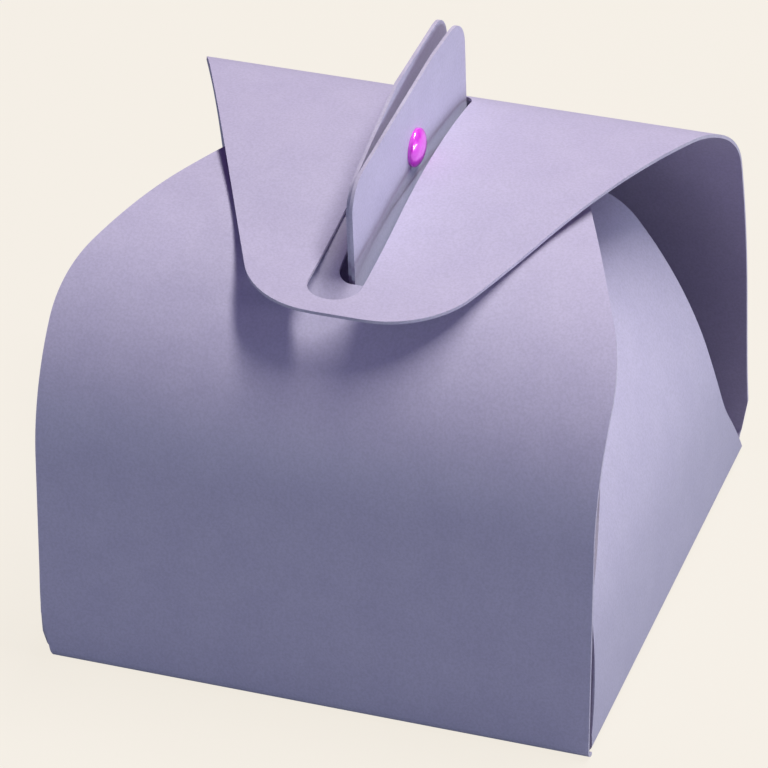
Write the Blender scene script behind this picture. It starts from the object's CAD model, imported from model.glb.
import math

import bmesh
import bpy
from mathutils import Matrix, Vector


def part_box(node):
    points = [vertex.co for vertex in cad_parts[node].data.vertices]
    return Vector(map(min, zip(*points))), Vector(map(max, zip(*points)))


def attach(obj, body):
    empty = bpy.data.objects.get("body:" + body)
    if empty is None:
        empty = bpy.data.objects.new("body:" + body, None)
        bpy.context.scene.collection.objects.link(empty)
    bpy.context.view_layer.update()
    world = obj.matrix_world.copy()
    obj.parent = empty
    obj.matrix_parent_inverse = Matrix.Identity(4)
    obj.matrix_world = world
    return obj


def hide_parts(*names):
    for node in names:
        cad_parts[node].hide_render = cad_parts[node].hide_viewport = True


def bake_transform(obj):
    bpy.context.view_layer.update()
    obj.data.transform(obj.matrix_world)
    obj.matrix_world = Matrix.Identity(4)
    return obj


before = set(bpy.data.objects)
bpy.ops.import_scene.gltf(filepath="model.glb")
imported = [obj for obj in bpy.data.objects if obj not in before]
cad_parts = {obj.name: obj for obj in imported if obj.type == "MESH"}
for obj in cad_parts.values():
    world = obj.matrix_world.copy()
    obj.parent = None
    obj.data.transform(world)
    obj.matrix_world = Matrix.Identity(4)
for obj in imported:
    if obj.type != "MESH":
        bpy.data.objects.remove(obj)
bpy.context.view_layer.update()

# Surprise box: one sheet of card, cut and folded, with a half pearl on its right handle.
# All lengths are in metres and all angles in degrees. The box stands on z = 0, with its front
# at -Y. Lengths "along" a panel start where the bottom begins to fold up into it.
BASE_WIDTH = 0.076
HALF_BASE = BASE_WIDTH / 2
CARD = 0.00045
CREASE = 0.0015  # outside radius of the folds round the bottom
CLEARANCE = 0.0003

# Handles, which stand a little behind the middle and close together at the front
HALF_HANDLE = 0.544 * BASE_WIDTH / 2
HANDLE_MIDDLE = 0.05 * BASE_WIDTH
HANDLE_FRONT = HANDLE_MIDDLE - HALF_HANDLE
HANDLE_BACK = HANDLE_MIDDLE + HALF_HANDLE
HANDLE_CREASE = 0.0006
HANDLE_CORNER = 0.0046
HANDLE_SPACING = 0.0003
RIGHT_FAN = math.tan(math.radians(1.8))
LEFT_FAN = math.tan(math.radians(0.6))

# Lid and hidden front flap. The lid's tip reaches unlike widths left and right of the middle.
SLOT_FRONT = HANDLE_FRONT - 0.0077
LID_TIP = SLOT_FRONT - 0.0030
TIP_LEFT, TIP_RIGHT = 0.0096, 0.0140
TIP_CORNER = 0.0130
SHOULDER_CORNER = 0.0295
TAPER_SHARE = 0.45  # the share of the back's shoulder that is passed where the taper starts
LID_SLOT_WIDTH, LID_SLOT_CORNER, LID_SLOT_BEHIND = 0.0073, 0.0034, 0.0013
FLAP_SLOT_WIDTH, FLAP_SLOT_CORNER, FLAP_SLOT_BEHIND = 0.0057, 0.0023, 0.0015
FLAP_SLOT_AHEAD, FLAP_SLOT_SHIFT = 0.0008, 0.0006
FLAP_GAP = 0.0007  # between the end of the flap and the back panel
LID_HINGE = Vector((0, 0.02818, 0.05517))

# Feet of the front and back panels, set in at the fold
FOOT_SET_IN = 0.0013
FOOT_RISE = 0.008

# Side panels: set-in feet, a front edge that turns in to the handle, and a waist at the back
SIDE_FOOT_FRONT, SIDE_FOOT_BACK, SIDE_FOOT_RISE = 0.0018, 0.0035, 0.0045
SIDE_GAP = 0.0001  # between the front edge and the inside of the front panel
TURN_IN_START, TURN_IN_END, TURN_IN_CORNER = 0.296 * BASE_WIDTH, 0.447 * BASE_WIDTH, 0.008
WAIST_DEPTH, WAIST_ALONG, WAIST_CORNER = 0.0045, 0.25 * BASE_WIDTH, 0.02
HALF_ROOF = HALF_HANDLE + 0.0008

# Side, its direction on X, the handle's fan, its height, its height at the front, how far
# behind the handle's middle the slant reaches its top, and how far its front edge steps back
HANDLES = (
    ("right", 1, RIGHT_FAN, 0.0233, 0.0206, 0.0090, 0.0),
    ("left", -1, LEFT_FAN, 0.0238, 0.0192, 0.0004, 0.0009),
)

# Half pearl, on the outer face of the right handle
PEARL_RADIUS = 0.00265
PEARL_HEIGHT = 0.0013
PEARL_RIM = 0.0003
PEARL_FOOT = 0.00006
PEARL_LIFT = 0.0138
PEARL_SHIFT = 0.0014

# How each panel leans in at its foot, and its bends from there up: each run in base widths
# and its turn inwards. The last turn of the lid and of the flap lasts until they end.
BACK_LEAN, FRONT_LEAN, SIDE_LEAN = 12.0, 6.0, -5.0
BACK_RUNS = ((0.18, -10.0), (0.13, 0.0), (0.305, 12.5), (0.21, 67.5), (0.375, 18.0))
FRONT_RUNS = ((0.383, 0.0), (0.41, 63.5), (0.196, 19.5))
SIDE_RUNS = ((0.20, 8.5), (0.15, 18.5), (0.24, 18.0), (0.125, 50.0))
LID_LAST_TURN, FLAP_LAST_TURN = -8.0, 12.0
FRONT_SLOPE = math.tan(math.radians(FRONT_LEAN))

# Fineness of the meshes: the most that a row turns, its length at most, and how close is too
# close for two rows
ROW_TURN, ROW_LENGTH, ROW_SPACING = 1.5, 0.0015, 0.00008
CORNER_ROWS, SLOT_CORNER_ROWS = 24, 14
PANEL_COLUMNS, SIDE_COLUMNS = 24, 18
PEARL_ROWS, PEARL_COLUMNS, PEARL_MERGE = 24, 64, 0.000002
CARD_SHARP, PEARL_SHARP = 40, 50  # an edge between faces that turn more than this stays sharp


def srgb(code):
    """A colour written as sRGB hex, in the linear values that the shader takes."""
    out = []
    for i in (1, 3, 5):
        part = int(code[i:i + 2], 16) / 255
        out.append(part / 12.92 if part <= 0.04045 else ((part + 0.055) / 1.055) ** 2.4)
    return (*out, 1.0)


def node(tree, kind, settings=None, links=None):
    """Add a node, set what it holds and link what it takes from other nodes."""
    made = tree.nodes.new(kind)
    for name, value in (settings or {}).items():
        if name == "stops":
            for stop, (position, code) in zip(made.color_ramp.elements, value):
                stop.position, stop.color = position, srgb(code)
        elif hasattr(made, name):
            setattr(made, name, value)
        else:
            made.inputs[name].default_value = value
    for name, source in (links or {}).items():
        tree.links.new(source, made.inputs[name])
    return made


def start_material(name, sockets):
    """A new material, with the values that its shader has all over the surface."""
    material = bpy.data.materials.new(name)
    material.use_nodes = True
    shader = material.node_tree.nodes["Principled BSDF"]
    for socket, value in sockets.items():
        shader.inputs[socket].default_value = value
    return material, material.node_tree, shader


# Uncoated dyed cardstock, about 300 gsm: matt, with a felt of fibres and a faint mottle from
# the way the dye takes, and a slight satin from the rolls that press it
def cardstock(name, code, pale, deep, roughness):
    material, tree, shader = start_material(name, {
        "IOR": 1.45, "Specular IOR Level": 0.35, "Sheen Weight": 0.08, "Sheen Roughness": 0.5,
    })
    material.diffuse_color = srgb(code)
    place = node(tree, "ShaderNodeTexCoord").outputs["Object"]
    # Mottle about 5 mm across
    mottle = node(tree, "ShaderNodeTexNoise", {"Scale": 200.0, "Detail": 3.0, "Roughness": 0.55},
                  {"Vector": place})
    # Fibres are 0.1 mm wide, and are drawn at 0.35 mm so that they show
    fibre = node(tree, "ShaderNodeTexNoise", {"Scale": 2900.0, "Detail": 2.0, "Roughness": 0.6},
                 {"Vector": place})
    tint = node(tree, "ShaderNodeValToRGB", {"stops": ((0.34, deep), (0.66, pale))},
                {"Fac": mottle.outputs["Fac"]})
    speck = node(tree, "ShaderNodeValToRGB", {"stops": ((0.36, "#e9e9e9"), (0.62, "#ffffff"))},
                 {"Fac": fibre.outputs["Fac"]})
    # Sockets 6 and 7 are the two colours, and output 2 is the mixed one
    mixed = node(tree, "ShaderNodeMix",
                 {"data_type": "RGBA", "blend_type": "MULTIPLY", "Factor": 0.55},
                 {6: tint.outputs["Color"], 7: speck.outputs["Color"]})
    rough = node(tree, "ShaderNodeMapRange",
                 {"To Min": roughness - 0.05, "To Max": roughness + 0.06},
                 {"Value": fibre.outputs["Fac"]})
    felt = node(tree, "ShaderNodeBump", {"Strength": 0.35, "Distance": 0.00003},
                {"Height": fibre.outputs["Fac"]})
    swell = node(tree, "ShaderNodeBump", {"Strength": 0.25, "Distance": 0.00015},
                 {"Height": mottle.outputs["Fac"], "Normal": felt.outputs["Normal"]})
    tree.links.new(mixed.outputs[2], shader.inputs["Base Color"])
    tree.links.new(rough.outputs["Result"], shader.inputs["Roughness"])
    tree.links.new(swell.outputs["Normal"], shader.inputs["Normal"])
    return material


CARD_FACE = cardstock("lavender_cardstock", "#c6bed8", "#c8c0da", "#c4bcd7", 0.5)
# The card is dyed through, so a cut edge has nearly the colour of its faces, but no roll has
# pressed it, so it is rougher and more mottled
CARD_EDGE = cardstock("cut_card_edge", "#c6bfd4", "#cdc6da", "#bcb4cc", 0.8)


# Injection-moulded ABS half pearl with a pearlescent lacquer: magenta, with a clear gloss
def pearl_lacquer():
    material, tree, shader = start_material("pearl_lacquered_abs", {
        "Metallic": 0.2, "Roughness": 0.28, "IOR": 1.5,
        "Coat Weight": 1.0, "Coat Roughness": 0.09, "Coat IOR": 1.9,
    })
    place = node(tree, "ShaderNodeTexCoord").outputs["Object"]
    # Pigment flow, about 1 mm across
    swirl = node(tree, "ShaderNodeTexNoise", {"Scale": 900.0, "Detail": 2.0}, {"Vector": place})
    tint = node(tree, "ShaderNodeValToRGB", {"stops": ((0.3, "#f42eec"), (0.7, "#ff5cfa"))},
                {"Fac": swirl.outputs["Fac"]})
    tree.links.new(tint.outputs["Color"], shader.inputs["Base Color"])
    return material


class Edge:
    """One edge of a flat blank: its distance from the middle at each length along it."""

    def __init__(self, *corners):
        self.corners = corners  # (distance, along, radius)
        self.arcs = []  # (centre, radius, start, end) of each rounded corner
        for before, corner, after in zip(corners, corners[1:], corners[2:]):
            point, radius = Vector(corner[:2]), corner[2]
            if radius:
                back = (Vector(before[:2]) - point).normalized()
                ahead = (Vector(after[:2]) - point).normalized()
                half = back.angle(ahead) / 2
                reach = radius / math.tan(half)
                centre = point + (back + ahead).normalized() * (radius / math.sin(half))
                self.arcs.append((centre, radius, point + back * reach, point + ahead * reach))

    def at(self, along):
        for centre, radius, first, last in self.arcs:
            # A corner that ends at the tip also holds what rounding puts past it
            at_tip = along > last.y > self.corners[-1][1] - CARD / 10
            if first.y <= along <= last.y or at_tip:
                side = 1 if first.x + last.x > 2 * centre.x else -1
                return centre.x + side * math.sqrt(max(radius ** 2 - (along - centre.y) ** 2, 0))
        for low, high in zip(self.corners, self.corners[1:]):
            if low[1] <= along <= high[1] and high[1] > low[1]:
                return low[0] + (high[0] - low[0]) * (along - low[1]) / (high[1] - low[1])
        return self.corners[-1][0]


def panel_runs(lean, bends):
    """The runs of a panel, each a length and its turn: the fold at its foot, then its bends."""
    fold = 90 + lean
    return [(CREASE * math.radians(fold), fold),
            *((share * BASE_WIDTH, turn) for share, turn in bends)]


def length(runs):
    return sum(run for run, turn in runs)


def runs_end(runs):
    """How far out from the middle of the box the runs end, and their heading there."""
    out, heading = HALF_BASE - CREASE, 0.0
    for run, turn in runs:
        half = math.radians(turn) / 2
        chord = run * math.sin(half) / half if half else run
        out += chord * math.cos(heading + half)
        heading += math.radians(turn)
    return out, heading


def last_run(runs, turn, end_out):
    """The run that goes on from these and ends that far out from the middle of the box."""
    out, heading = runs_end(runs)
    half = math.radians(turn) / 2
    chord_share = math.cos(heading + half) * math.sin(half) / half
    return (end_out - out) / chord_share, turn


def turn_at(runs, along):
    """How far the card turns there for each metre of its length, in radians."""
    for run, turn in runs:
        if along < run:
            return math.radians(turn) / run
        along -= run
    return 0.0


def stations(runs, edges):
    """Lengths along the blank where a row of the mesh goes."""
    marks = [0.0]
    for run, turn in runs:
        rows = max(2, math.ceil(abs(turn) / ROW_TURN), math.ceil(run / ROW_LENGTH))
        start = marks[-1]
        marks.extend(start + run * row / rows for row in range(1, rows + 1))
    end = marks[-1]
    wanted = [corner[1] for edge in edges for corner in edge.corners]
    for centre, radius, first, last in [arc for edge in edges for arc in edge.arcs]:
        low = math.asin(max(min((first.y - centre.y) / radius, 1), -1))
        high = math.asin(max(min((last.y - centre.y) / radius, 1), -1))
        wanted += [centre.y + radius * math.sin(low + (high - low) * step / CORNER_ROWS)
                   for step in range(CORNER_ROWS + 1)]
    for mark in wanted:
        if 0 < mark < end and min(abs(mark - other) for other in marks) > ROW_SPACING:
            marks.append(mark)
    return sorted(marks)


def bent_sheet(runs, low_edge, high_edge, columns):
    """Sweep the foot of a panel along its runs: spin it on each bend, draw it out between.

    Local -Y is out of the box, X runs across, and each row is scaled to the blank's width.
    Also gives the length along the blank of each vertex.
    """
    marks = stations(runs, (low_edge, high_edge))
    work = bmesh.new()
    start_y = -(HALF_BASE - CREASE)
    ends = [work.verts.new((-low_edge.at(0), start_y, 0)),
            work.verts.new((high_edge.at(0), start_y, 0))]
    foot = bmesh.ops.subdivide_edges(work, edges=[work.edges.new(ends)], cuts=columns - 1)
    row = [item for item in foot["geom"] if isinstance(item, bmesh.types.BMEdge)]
    verts = list({v for edge in row for v in edge.verts})
    along_of = {v: 0.0 for v in verts}
    heading = 0.0
    for low, high in zip(marks, marks[1:]):
        bend = turn_at(runs, (low + high) / 2)
        step = high - low
        if bend == 0:
            made = bmesh.ops.extrude_edge_only(work, edges=row)["geom"]
            shift = Vector((0, -math.cos(heading), math.sin(heading))) * step
        else:
            inwards = Vector((0, math.sin(heading), math.cos(heading)))
            centre = Vector((0, verts[0].co.y, verts[0].co.z)) + inwards / bend
            made = bmesh.ops.spin(
                work, geom=row, cent=centre, axis=(1, 0, 0), dvec=(0, 0, 0),
                angle=-bend * step, steps=1, use_merge=False, use_duplicate=False,
            )["geom_last"]
            shift = Vector((0, 0, 0))
            heading += bend * step
        row = [item for item in made if isinstance(item, bmesh.types.BMEdge)]
        verts = [item for item in made if isinstance(item, bmesh.types.BMVert)]
        grown = (low_edge.at(high) + high_edge.at(high)) / (low_edge.at(low) + high_edge.at(low))
        bmesh.ops.scale(work, vec=(grown, 1, 1), verts=verts)
        shift.x = low_edge.at(low) * grown - low_edge.at(high)
        bmesh.ops.translate(work, verts=verts, vec=shift)
        along_of.update((v, high) for v in verts)
    return work, along_of


def finished(name, work, *materials):
    """Put a worked mesh into the scene as an object, with its materials."""
    mesh = bpy.data.meshes.new(name)
    work.to_mesh(mesh)
    work.free()
    for material in materials:
        mesh.materials.append(material)
    made = bpy.data.objects.new(name, mesh)
    bpy.context.scene.collection.objects.link(made)
    return made


def thick_card(name, work, turn):
    """Turn the sheet to its side of the box and give it the card's thickness and cut edges."""
    bmesh.ops.rotate(work, verts=work.verts, cent=(0, 0, 0),
                     matrix=Matrix.Rotation(math.radians(turn), 3, "Z"))
    bmesh.ops.recalc_face_normals(work, faces=work.faces)
    # Faces point out of the box, which a face low on the wall shows
    inside = Vector((0, 0, BASE_WIDTH / 3))
    wall = min(work.faces, key=lambda face: abs(face.calc_center_median().z - BASE_WIDTH / 5))
    if wall.normal.dot(wall.calc_center_median() - inside) < 0:
        bmesh.ops.reverse_faces(work, faces=work.faces)
    sheet = finished(name, work, CARD_FACE, CARD_EDGE)
    solid = sheet.modifiers.new("Card", "SOLIDIFY")
    solid.thickness = CARD
    solid.offset = -1
    solid.use_even_offset = True
    solid.material_offset_rim = 1
    return sheet


def slot_knife(name, width, front, back, radius, right_edge):
    """A tall bar with rounded corners, which cuts a slot of its own shape."""
    tall, middle = BASE_WIDTH / 2, BASE_WIDTH * 0.75
    work = bmesh.new()
    bmesh.ops.create_cube(work, size=1)
    bmesh.ops.scale(work, verts=work.verts, vec=(width, back - front, tall))
    upright = [e for e in work.edges if abs(e.verts[0].co.z - e.verts[1].co.z) > tall / 2]
    bmesh.ops.bevel(work, geom=upright, offset=radius, segments=SLOT_CORNER_ROWS, profile=0.5,
                    affect="EDGES", material=-1)
    bmesh.ops.translate(work, verts=work.verts,
                        vec=(right_edge - width / 2, (front + back) / 2, middle))
    return finished(name, work, CARD_EDGE)


def cut_slot(sheet, knife):
    boolean = sheet.modifiers.new("Slot", "BOOLEAN")
    boolean.operation = "DIFFERENCE"
    boolean.solver = "EXACT"
    boolean.material_mode = "TRANSFER"
    boolean.object = knife


def set_mesh(sheet):
    """Keep what the modifiers make as the piece's own mesh, smooth but for its cut edges."""
    bpy.context.view_layer.update()
    shown = sheet.evaluated_get(bpy.context.evaluated_depsgraph_get())
    mesh = bpy.data.meshes.new_from_object(shown)
    sheet.modifiers.clear()
    old = sheet.data
    sheet.data = mesh
    bpy.data.meshes.remove(old)
    mesh.shade_smooth()
    mesh.set_sharp_from_angle(angle=math.radians(CARD_SHARP))


def top_panel(name, runs, turn, low_side, high_side, knife):
    """A front or back panel, which tapers past its shoulder and is slotted for the handles.

    Each side is its taper and how far its foot is set in.
    """
    whole = length(runs)
    edges = [
        Edge((HALF_BASE - set_in, 0, 0), (HALF_BASE - set_in, CREASE, 0),
             (HALF_BASE, FOOT_RISE, 0), (HALF_BASE, taper_start, SHOULDER_CORNER),
             (HALF_BASE - taper * (whole - taper_start), whole, TIP_CORNER), (0, whole, 0))
        for taper, set_in in (low_side, high_side)
    ]
    work, _ = bent_sheet(runs, *edges, PANEL_COLUMNS)
    sheet = thick_card(name, work, turn)
    cut_slot(sheet, knife)
    set_mesh(sheet)
    bpy.data.objects.remove(knife, do_unlink=True)
    return sheet


# Runs and tapers of the front and back panels. The flap tapers by the mean of the lid's sides.
back_runs = panel_runs(BACK_LEAN, BACK_RUNS)
back_runs.append(last_run(back_runs, LID_LAST_TURN, LID_TIP))
front_runs = panel_runs(FRONT_LEAN, FRONT_RUNS)
front_runs.append(last_run(front_runs, FLAP_LAST_TURN, -(LID_HINGE.y - CARD - FLAP_GAP)))
taper_start = length(back_runs[:4]) + back_runs[4][0] * TAPER_SHARE
narrowing = length(back_runs) - taper_start
left_taper = (HALF_BASE - TIP_LEFT) / narrowing
right_taper = (HALF_BASE - TIP_RIGHT) / narrowing
flap_taper = (left_taper + right_taper) / 2

# The slots leave room on the right for the half pearl on its fanned handle
pearl_face = HANDLE_SPACING / 2 + CARD + RIGHT_FAN * (HALF_HANDLE + PEARL_SHIFT)
slot_edge = pearl_face + CLEARANCE + PEARL_HEIGHT + CLEARANCE

front = top_panel(
    "front_panel_sheet", front_runs, 0, (flap_taper, FOOT_SET_IN), (flap_taper, 0.0),
    slot_knife("flap_knife", FLAP_SLOT_WIDTH, HANDLE_FRONT - FLAP_SLOT_AHEAD,
               HANDLE_BACK + FLAP_SLOT_BEHIND, FLAP_SLOT_CORNER, slot_edge + FLAP_SLOT_SHIFT),
)
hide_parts("front_wall", "front_flap")
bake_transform(front)

back = top_panel(
    "back_panel_sheet", back_runs, 180, (right_taper, FOOT_SET_IN), (left_taper, FOOT_SET_IN),
    slot_knife("lid_knife", LID_SLOT_WIDTH, SLOT_FRONT, HANDLE_BACK + LID_SLOT_BEHIND,
               LID_SLOT_CORNER, slot_edge),
)
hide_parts("back_wall", "lid_flap")
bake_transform(back)

# Side panels, each of which goes on over a flat roof and folds up into its handle
side_reach = HALF_BASE - CARD - SIDE_GAP
for side, sign, fan, height, front_height, slant_end, front_step in HANDLES:
    runs = panel_runs(SIDE_LEAN, SIDE_RUNS)
    bend_start = length(runs[:4])
    fold_out = HANDLE_SPACING / 2 + CARD + fan * HALF_HANDLE + HANDLE_CREASE
    runs.append((runs_end(runs)[0] - fold_out, 0.0))
    roof_end = length(runs)
    runs.append((HANDLE_CREASE * math.pi / 2, -90.0))
    fold_end = length(runs)
    runs.append((height - HANDLE_CREASE, 0.0))
    whole = length(runs)
    front_edge = Edge(
        (HALF_BASE - SIDE_FOOT_FRONT, 0, 0), (HALF_BASE - SIDE_FOOT_FRONT, CREASE, 0),
        (side_reach - SIDE_FOOT_RISE * FRONT_SLOPE, SIDE_FOOT_RISE, 0),
        (side_reach - TURN_IN_START * FRONT_SLOPE, TURN_IN_START, TURN_IN_CORNER),
        (HALF_ROOF - HANDLE_MIDDLE, TURN_IN_END, TURN_IN_CORNER),
        (HALF_ROOF - HANDLE_MIDDLE, roof_end, 0),
        (HALF_HANDLE - front_step - HANDLE_MIDDLE, fold_end, 0),
        (HALF_HANDLE - front_step - HANDLE_MIDDLE, roof_end + front_height, HANDLE_CORNER),
        (-slant_end - HANDLE_MIDDLE, whole, 0),
    )
    back_edge = Edge(
        (HALF_BASE - SIDE_FOOT_BACK, 0, 0), (HALF_BASE - SIDE_FOOT_BACK, CREASE, 0),
        (HALF_ROOF + HANDLE_MIDDLE - WAIST_DEPTH, WAIST_ALONG, WAIST_CORNER),
        (HALF_ROOF + HANDLE_MIDDLE, roof_end, 0), (HALF_HANDLE + HANDLE_MIDDLE, fold_end, 0),
        (HALF_HANDLE + HANDLE_MIDDLE, whole, HANDLE_CORNER), (0, whole, 0),
    )
    edges = (front_edge, back_edge) if side == "right" else (back_edge, front_edge)
    work, along_of = bent_sheet(runs, *edges, SIDE_COLUMNS)
    # The card twists between its last bend and its roof, until it lies along the fanned handle
    for v, along in along_of.items():
        share = min(max((along - bend_start) / (roof_end - bend_start), 0), 1)
        v.co.y -= sign * fan * (v.co.x - sign * HANDLE_MIDDLE) * share
    sheet = thick_card(side + "_panel_sheet", work, sign * 90)
    set_mesh(sheet)
    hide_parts(side + "_wall", side + "_handle_tab")
    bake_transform(sheet)

# Bottom: the flat square between the folds, with its arrises just broken
work = bmesh.new()
bmesh.ops.create_cube(work, size=1)
bmesh.ops.scale(work, verts=work.verts,
                vec=(2 * (HALF_BASE - CREASE), 2 * (HALF_BASE - CREASE), CARD))
bmesh.ops.translate(work, verts=work.verts, vec=(0, 0, CARD / 2))
bmesh.ops.bevel(work, geom=list(work.edges), offset=CARD / 12, segments=2, profile=0.5,
                affect="EDGES", material=-1)
bottom = finished("bottom_sheet", work, CARD_FACE)
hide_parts("base_panel")
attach(bottom, "carton")

# Half pearl: a dome over a short upright rim, seated on the face of the right handle
work = bmesh.new()
profile = [work.verts.new((0, 0, PEARL_HEIGHT))]
for step in range(1, PEARL_ROWS + 1):
    angle = math.pi / 2 * step / PEARL_ROWS
    profile.append(work.verts.new((
        PEARL_RADIUS * math.sin(angle), 0,
        PEARL_RIM + (PEARL_HEIGHT - PEARL_RIM) * math.cos(angle),
    )))
profile.append(work.verts.new((PEARL_RADIUS - PEARL_FOOT, 0, 0)))
profile.append(work.verts.new((0, 0, 0)))
outline = [work.edges.new(pair) for pair in zip(profile, profile[1:])]
bmesh.ops.spin(work, geom=outline, cent=(0, 0, 0), axis=(0, 0, 1), dvec=(0, 0, 0),
               angle=math.tau, steps=PEARL_COLUMNS, use_merge=True, use_duplicate=False)
bmesh.ops.remove_doubles(work, verts=work.verts, dist=PEARL_MERGE)
bmesh.ops.recalc_face_normals(work, faces=work.faces)
for angle, axis in ((math.pi / 2, "Y"), (-math.atan(RIGHT_FAN), "Z")):
    bmesh.ops.rotate(work, verts=work.verts, cent=(0, 0, 0),
                     matrix=Matrix.Rotation(angle, 3, axis))
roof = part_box("right_wall")[1][2]
bmesh.ops.translate(work, verts=work.verts,
                    vec=(pearl_face, HANDLE_MIDDLE + PEARL_SHIFT, roof + PEARL_LIFT))
pearl = finished("half_pearl_dome", work, pearl_lacquer())
pearl.data.shade_smooth()
pearl.data.set_sharp_from_angle(angle=math.radians(PEARL_SHARP))
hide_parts("half_pearl")
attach(pearl, "right_handle")


# Matt painted floor. To the camera it glows in the photograph's cream, with a fifth of the
# paint left in so that shadows show, and to the object it is a neutral grey, which throws no
# warm light up on the card.
def backdrop_paint():
    material, tree, shader = start_material(
        "matt_cream_backdrop", {"Base Color": srgb("#94949a"), "Roughness": 0.9})
    glow = node(tree, "ShaderNodeEmission", {"Color": srgb("#f5efe4"), "Strength": 1.17})
    rays = node(tree, "ShaderNodeLightPath")
    glow_share = node(tree, "ShaderNodeMath", {"operation": "MULTIPLY"},
                      {0: rays.outputs["Is Camera Ray"]})
    glow_share.inputs[1].default_value = 0.8
    both = node(tree, "ShaderNodeMixShader", links={
        0: glow_share.outputs["Value"], 1: shader.outputs["BSDF"], 2: glow.outputs["Emission"]})
    tree.links.new(both.outputs["Shader"], tree.nodes["Material Output"].inputs["Surface"])
    return material


work = bmesh.new()
bmesh.ops.create_grid(work, x_segments=1, y_segments=1, size=3.0)
floor = finished("floor", work, backdrop_paint())

# World: cream to the camera, and to the object a weak lilac light from all round, which keeps
# its shades from going black
world = bpy.data.worlds.new("studio")
bpy.context.scene.world = world
world.use_nodes = True
tree = world.node_tree
sky = tree.nodes["Background"]
sky.inputs["Color"].default_value = srgb("#b48cf2")
sky.inputs["Strength"].default_value = 0.175
cream = node(tree, "ShaderNodeBackground", {"Color": srgb("#f5efe6"), "Strength": 1.0})
rays = node(tree, "ShaderNodeLightPath")
either = node(tree, "ShaderNodeMath", {"operation": "MAXIMUM"},
              {0: rays.outputs["Is Camera Ray"], 1: rays.outputs["Is Transmission Ray"]})
swap = node(tree, "ShaderNodeMixShader", links={
    0: either.outputs["Value"], 1: sky.outputs["Background"], 2: cream.outputs["Background"]})
tree.links.new(swap.outputs["Shader"], tree.nodes["World Output"].inputs["Surface"])


def hang_lamp(name, kind, toward, distance, target, watts, colour):
    """Hang a lamp in a direction from its target and point it there."""
    lamp = bpy.data.lights.new(name, kind)
    lamp.energy = watts
    lamp.color = srgb(colour)[:3]
    lit = bpy.data.objects.new(name, lamp)
    way = Vector(toward).normalized()
    lit.location = Vector(target) + way * distance
    lit.rotation_euler = way.to_track_quat("Z", "Y").to_euler()
    bpy.context.scene.collection.objects.link(lit)
    return lamp


# The key hangs over the box, a little to the right and behind, so that the lid shades the
# front. Two weak strips, low at the right and in front, lift the lower parts of the panels.
for name, toward, distance, size, watts, colour in (
    ("overhead_key", (0.27, 0.26, 0.93), 0.9, (0.7, 0.12), 8.7, "#fffff8"),
    ("low_right_fill", (1, 0, 0.01), 0.9, (0.5, 0.06), 2.7, "#def4f6"),
    ("front_fill", (-0.3, -0.95, 0.02), 1.2, (0.5, 0.1), 2.75, "#ceeeee"),
):
    softbox = hang_lamp(name, "AREA", toward, distance, (0, 0, BASE_WIDTH / 2), watts, colour)
    softbox.shape = "RECTANGLE"
    softbox.size, softbox.size_y = size

# A narrow spot from the right picks out the handle and its half pearl
spot = hang_lamp("handle_spot", "SPOT", toward=(0.94, -0.27, 0.21), distance=0.5,
                 target=(0.001, 0.002, 0.065), watts=3.6, colour="#fbf6ff")
spot.spot_size = math.radians(6.0)
spot.spot_blend = 0.9
spot.shadow_soft_size = 0.032

# Camera at the photograph's angle
AZIMUTH, ELEVATION, ROLL = math.radians(20.51), math.radians(34.29), math.radians(-2.19)
DISTANCE, TARGET = 0.67, Vector((-0.0023, 0, 0.0261))
FOCAL_PIXELS, FRAME_PIXELS, SENSOR_MM = 5001.0, 768, 36
away = Vector((math.sin(AZIMUTH) * math.cos(ELEVATION), -math.cos(AZIMUTH) * math.cos(ELEVATION),
               math.sin(ELEVATION)))
camera = bpy.data.objects.new("camera", bpy.data.cameras.new("camera"))
camera.data.sensor_width = SENSOR_MM
camera.data.lens = FOCAL_PIXELS / FRAME_PIXELS * SENSOR_MM
camera.data.clip_start = 0.01
camera.location = TARGET + away * DISTANCE
level = away.to_track_quat("Z", "Y").to_matrix()
camera.rotation_euler = (level @ Matrix.Rotation(ROLL, 3, "Z")).to_euler()
bpy.context.scene.collection.objects.link(camera)
bpy.context.scene.camera = camera

bpy.context.scene.view_settings.view_transform = "Standard"
